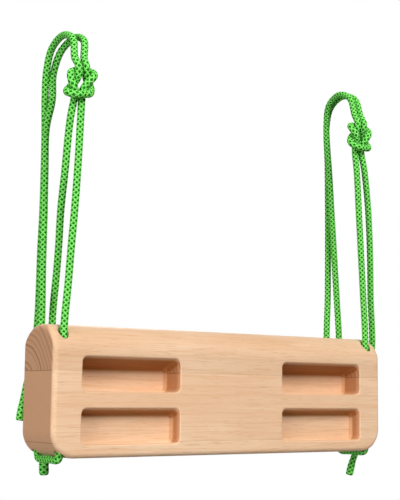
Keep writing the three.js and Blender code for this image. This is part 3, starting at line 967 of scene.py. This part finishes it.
def pocket_cutter(board, side, ledge_height, mouth_height, depth):
    """The space of one pocket: a rounded rim, a sloping ceiling, a level ledge and a coved back."""
    half = BOARD_SIZE / 2
    middle = side * (board.pocket_from_centre + board.pocket_width / 2)
    ledge = ledge_height - half.z
    cove = board.pocket_cove_radius
    stations = [(into, grow, True) for into, grow in rim_profile(board.pocket_rim_radius)]
    stations += [
        (depth - cove * (1 - math.sin(turn)), cove * (math.cos(turn) - 1), False)
        for turn in quarter_turn(ROUND_STEPS)]
    rings = []
    for into, grow, on_front in stations:
        ceiling = ledge + mouth_height - max(0.0, into) * math.tan(board.ceiling_slope)
        corner = board.pocket_corner_radius + grow
        outline = rounded_outline(
            middle - board.pocket_width / 2 - grow, middle + board.pocket_width / 2 + grow,
            ledge - grow, ceiling + grow, corner, corner, ROUND_STEPS)
        ring = []
        for across, up in outline:
            edge = board.top_edge_radius if up > 0 else board.edge_radius
            fall = edge_fall(half.z - abs(up), edge) if on_front else 0.0
            ring.append((across, fall - half.y + into, up))
        rings.append(ring)
    return loft("pocket", rings)


def hole_cutter(board, side, face, sides=64):
    """The space of one cord hole, with a rounded rim that follows the round edges of the board."""
    x = side * (BOARD_SIZE.x / 2 - board.hole_from_end)
    y = face * (BOARD_SIZE.y / 2 - board.hole_from_face)
    flare = rim_profile(board.hole_rim_radius)

    def ring(grow, height):
        radius = board.hole_radius + grow
        angles = [math.tau * index / sides for index in range(sides)]
        spots = [(x + radius * math.cos(angle), y + radius * math.sin(angle)) for angle in angles]
        return [(along, across, height(along, across)) for along, across in spots]

    rings = []
    for sink, grow in flare:
        rings.append(ring(grow, lambda along, across: bottom_surface(board, along, across) + sink))
    for sink, grow in reversed(flare):
        rings.append(ring(grow, lambda along, across: top_surface(board, across) - sink))
    return loft("hole", rings)


def box_mesh(low, high):
    shape = bmesh.new()
    bmesh.ops.create_cube(shape, size=1)
    placed = Matrix.LocRotScale((low + high) / 2, None, high - low)
    bmesh.ops.transform(shape, matrix=placed, verts=shape.verts)
    return taken_mesh("slice", shape)


def combined(mesh, cutters, operation):
    """A mesh cut by others, or kept where they overlap it."""
    target = placed_object("cut_target", mesh)
    helpers = [placed_object("cutter", cutter) for cutter in cutters]
    for helper in helpers:
        modifier = target.modifiers.new("Cut", "BOOLEAN")
        modifier.operation = operation
        modifier.solver = "EXACT"
        modifier.object = helper
    result = evaluated_mesh(target)
    for helper in (target, *helpers):
        bpy.data.objects.remove(helper)
    return result


SHARP_ANGLE = math.radians(32)


def softened(mesh, name, material):
    """A finished wooden piece: smooth over its round edges, crisp at the seams."""
    mesh.name = name
    mesh.materials.clear()
    mesh.materials.append(material)
    mesh.shade_smooth()
    mesh.set_sharp_from_angle(angle=SHARP_ANGLE)
    piece = placed_object(name, mesh)
    weighted = piece.modifiers.new("Flat faces stay flat", "WEIGHTED_NORMAL")
    weighted.keep_sharp = True
    weighted.weight = 100
    piece.data = evaluated_mesh(piece)
    piece.modifiers.clear()
    piece.data.name = name
    return piece


# Camera of the photograph: its place, its turns in radians, and its lens in millimetres
CAMERA_PLACE = (-0.69366, -0.93414, -0.30667)
CAMERA_YAW, CAMERA_PITCH, CAMERA_ROLL = 0.6252, 0.1246, 0.0116
CAMERA_LENS = 103.5
CAMERA_SENSOR = 36


class HANGBOARD_OT_place_camera(bpy.types.Operator):
    """Place the camera where the photograph was taken"""

    bl_idname = "hangboard.place_camera"
    bl_label = "Place Camera"

    def execute(self, context):
        data = bpy.data.cameras.new("Camera")
        data.sensor_fit = "HORIZONTAL"
        data.sensor_width = CAMERA_SENSOR
        data.lens = CAMERA_LENS
        data.clip_start = 0.05
        camera = placed_object("Camera", data)
        yaw, pitch, roll = CAMERA_YAW, CAMERA_PITCH, CAMERA_ROLL
        forward = Vector((
            math.sin(yaw) * math.cos(pitch), math.cos(yaw) * math.cos(pitch), math.sin(pitch)))
        level = Vector((math.cos(yaw), -math.sin(yaw), 0))
        above = level.cross(forward)
        right = math.cos(roll) * level + math.sin(roll) * above
        up = math.cos(roll) * above - math.sin(roll) * level
        turned = Matrix((right, up, -forward)).transposed().to_4x4()
        camera.matrix_world = Matrix.Translation(CAMERA_PLACE) @ turned
        context.scene.camera = camera
        return {"FINISHED"}


class HANGBOARD_OT_make_cords(bpy.types.Operator):
    """Make the two braided cords with their knots"""

    bl_idname = "hangboard.make_cords"
    bl_label = "Make Cords"

    def execute(self, context):
        scene = context.scene
        sizes, board = scene.hangboard_cord, scene.hangboard_board
        material = cord_material(scene.hangboard_look, sizes)
        tree = sheath_tree()
        make_cord(-1, LEFT_ROUTE, sizes, board, tree, material)
        make_cord(1, RIGHT_ROUTE, sizes, board, tree, material)
        return {"FINISHED"}


class HANGBOARD_OT_make_staves(bpy.types.Operator):
    """Make the three glued staves with their pockets and cord holes"""

    bl_idname = "hangboard.make_staves"
    bl_label = "Make Staves"

    def execute(self, context):
        scene = context.scene
        board = scene.hangboard_board
        rows = (
            (board.upper_ledge, board.upper_mouth, board.upper_depth),
            (board.lower_ledge, board.lower_mouth, board.lower_depth))
        cutters = []
        for side in (-1, 1):
            cutters += [pocket_cutter(board, side, *row) for row in rows]
            cutters += [hole_cutter(board, side, face) for face in (-1, 1)]
        block = combined(board_block(board), cutters, "DIFFERENCE")
        block.transform(Matrix.Translation(BOARD_MIDDLE))
        group = beech_group()
        seams = (STAVE_BOXES["middle_stave"][0].z, STAVE_BOXES["middle_stave"][1].z)
        overrun = Vector((CUT_OVERRUN, CUT_OVERRUN, 0))
        for name in STAVES:
            low, high = STAVE_BOXES[name]
            low = Vector((BOARD_LOW.x, BOARD_LOW.y, low.z)) - overrun
            high = Vector((BOARD_HIGH.x, BOARD_HIGH.y, high.z)) + overrun
            if name == "lower_stave":
                low.z -= CUT_OVERRUN
            if name == "upper_stave":
                high.z += CUT_OVERRUN
            mesh = combined(block.copy(), [box_mesh(low, high)], "INTERSECT")
            material = stave_material(name, scene.hangboard_look, group, seams)
            piece = softened(mesh, f"{name}_wood", material)
            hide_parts(name)
            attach(piece, "board_and_cords")
        return {"FINISHED"}


# Floor and lamps, the places from the origin
FLOOR_REACH = 0.9
FLOOR_WHITE_SHARE = 0.98
KEY_PLACE = (-0.2, -2.27, 1.3)
KEY_SIZE = 1.1
FILL_PLACE = (-2.35, -0.85, -0.15)
FILL_SIZE = 1.2
BACK_PLACE = (0.9, 2.2, 0.7)
BACK_SIZE = 1.2


def area_lamp(name, place, target, size, power):
    data = bpy.data.lights.new(name, "AREA")
    data.shape = "SQUARE"
    data.size = size
    data.energy = power
    lamp = placed_object(name, data)
    facing = (target - Vector(place)).to_track_quat("-Z", "Y").to_matrix().to_4x4()
    lamp.matrix_world = Matrix.Translation(place) @ facing


class HANGBOARD_OT_make_stage(bpy.types.Operator):
    """Make the pale floor, the white surroundings and the soft studio light"""

    bl_idname = "hangboard.make_stage"
    bl_label = "Make Stage"

    def execute(self, context):
        scene = context.scene
        studio = scene.hangboard_studio
        floor_z = BOARD_LOW.z - studio.floor_drop
        corners = ((-1, -1), (1, -1), (1, 1), (-1, 1))
        mesh = bpy.data.meshes.new("floor")
        mesh.from_pydata(
            [(FLOOR_REACH * x, FLOOR_REACH * y, floor_z) for x, y in corners], [], [(0, 1, 2, 3)])
        floor = placed_object("floor", mesh)
        pale = linear(scene.hangboard_look.floor)
        material, tree, shader = new_material("Pale floor", pale, 0.9)
        shader.inputs["Base Color"].default_value = pale
        surface = tree.nodes["Material Output"].inputs["Surface"]
        self.whiten(tree, shader.outputs[0], surface, FLOOR_WHITE_SHARE)
        mesh.materials.append(material)

        world = bpy.data.worlds.new("Studio")
        world.use_nodes = True
        scene.world = world
        tree = world.node_tree
        background = tree.nodes["Background"]
        background.inputs["Color"].default_value = (1, 1, 1, 1)
        direction = tree.nodes.new("ShaderNodeSeparateXYZ")
        around = tree.nodes.new("ShaderNodeTexCoord").outputs["Generated"]
        tree.links.new(around, direction.inputs[0])
        height = smooth_step(tree, direction.outputs[2], -0.05, 0.8)
        sky = maths(tree, "MULTIPLY_ADD", height, studio.sky - studio.ground, studio.ground)
        tree.links.new(sky, background.inputs["Strength"])
        surface = tree.nodes["World Output"].inputs["Surface"]
        self.whiten(tree, background.outputs[0], surface, 1.0)

        area_lamp("Key light", KEY_PLACE, BOARD_MIDDLE, KEY_SIZE, studio.key)
        area_lamp("Fill light", FILL_PLACE, BOARD_MIDDLE, FILL_SIZE, studio.fill)
        area_lamp("Back light", BACK_PLACE, BOARD_MIDDLE, BACK_SIZE, studio.back)
        scene.view_settings.view_transform = "Standard"
        return {"FINISHED"}

    @staticmethod
    def whiten(tree, shader, target, share):
        """The eye and reflections see white there, and the light on the object stays as it is."""
        path = tree.nodes.new("ShaderNodeLightPath")
        seen = maths(tree, "ADD", path.outputs["Is Camera Ray"], path.outputs["Is Glossy Ray"])
        seen = maths(tree, "ADD", seen, path.outputs["Is Transmission Ray"])
        seen = maths(tree, "MULTIPLY", maths(tree, "MINIMUM", seen, 1.0), share)
        in_world = tree.nodes.get("Background") is not None
        white = tree.nodes.new("ShaderNodeBackground" if in_world else "ShaderNodeEmission")
        white.inputs["Color"].default_value = (1, 1, 1, 1)
        white.inputs["Strength"].default_value = 1
        mix = tree.nodes.new("ShaderNodeMixShader")
        tree.links.new(seen, mix.inputs[0])
        tree.links.new(shader, mix.inputs[1])
        tree.links.new(white.outputs[0], mix.inputs[2])
        tree.links.new(mix.outputs[0], target)


OPERATORS = (
    HANGBOARD_OT_place_camera,
    HANGBOARD_OT_make_cords,
    HANGBOARD_OT_make_staves,
    HANGBOARD_OT_make_stage,
)


class HANGBOARD_PT_panel(bpy.types.Panel):
    """Sidebar panel with the steps that make the hangboard"""

    bl_label = "Hangboard"
    bl_idname = "HANGBOARD_PT_panel"
    bl_space_type = "VIEW_3D"
    bl_region_type = "UI"
    bl_category = "Hangboard"

    def draw(self, context):
        for operator in OPERATORS:
            self.layout.operator(operator.bl_idname)
        scene = context.scene
        groups = (
            scene.hangboard_board, scene.hangboard_cord, scene.hangboard_look,
            scene.hangboard_studio)
        for group in groups:
            box = self.layout.box()
            for name in group.__annotations__:
                box.prop(group, name)


CLASSES = (
    HangboardBoard, HangboardCord, HangboardLook, HangboardStudio, *OPERATORS, HANGBOARD_PT_panel)


def register():
    for cls in CLASSES:
        bpy.utils.register_class(cls)
    bpy.types.Scene.hangboard_board = PointerProperty(type=HangboardBoard)
    bpy.types.Scene.hangboard_cord = PointerProperty(type=HangboardCord)
    bpy.types.Scene.hangboard_look = PointerProperty(type=HangboardLook)
    bpy.types.Scene.hangboard_studio = PointerProperty(type=HangboardStudio)


def unregister():
    del bpy.types.Scene.hangboard_studio
    del bpy.types.Scene.hangboard_look
    del bpy.types.Scene.hangboard_cord
    del bpy.types.Scene.hangboard_board
    for cls in reversed(CLASSES):
        bpy.utils.unregister_class(cls)


def main():
    register()
    bpy.ops.hangboard.place_camera()
    bpy.ops.hangboard.make_cords()
    bpy.ops.hangboard.make_staves()
    bpy.ops.hangboard.make_stage()


if __name__ == "__main__":
    main()
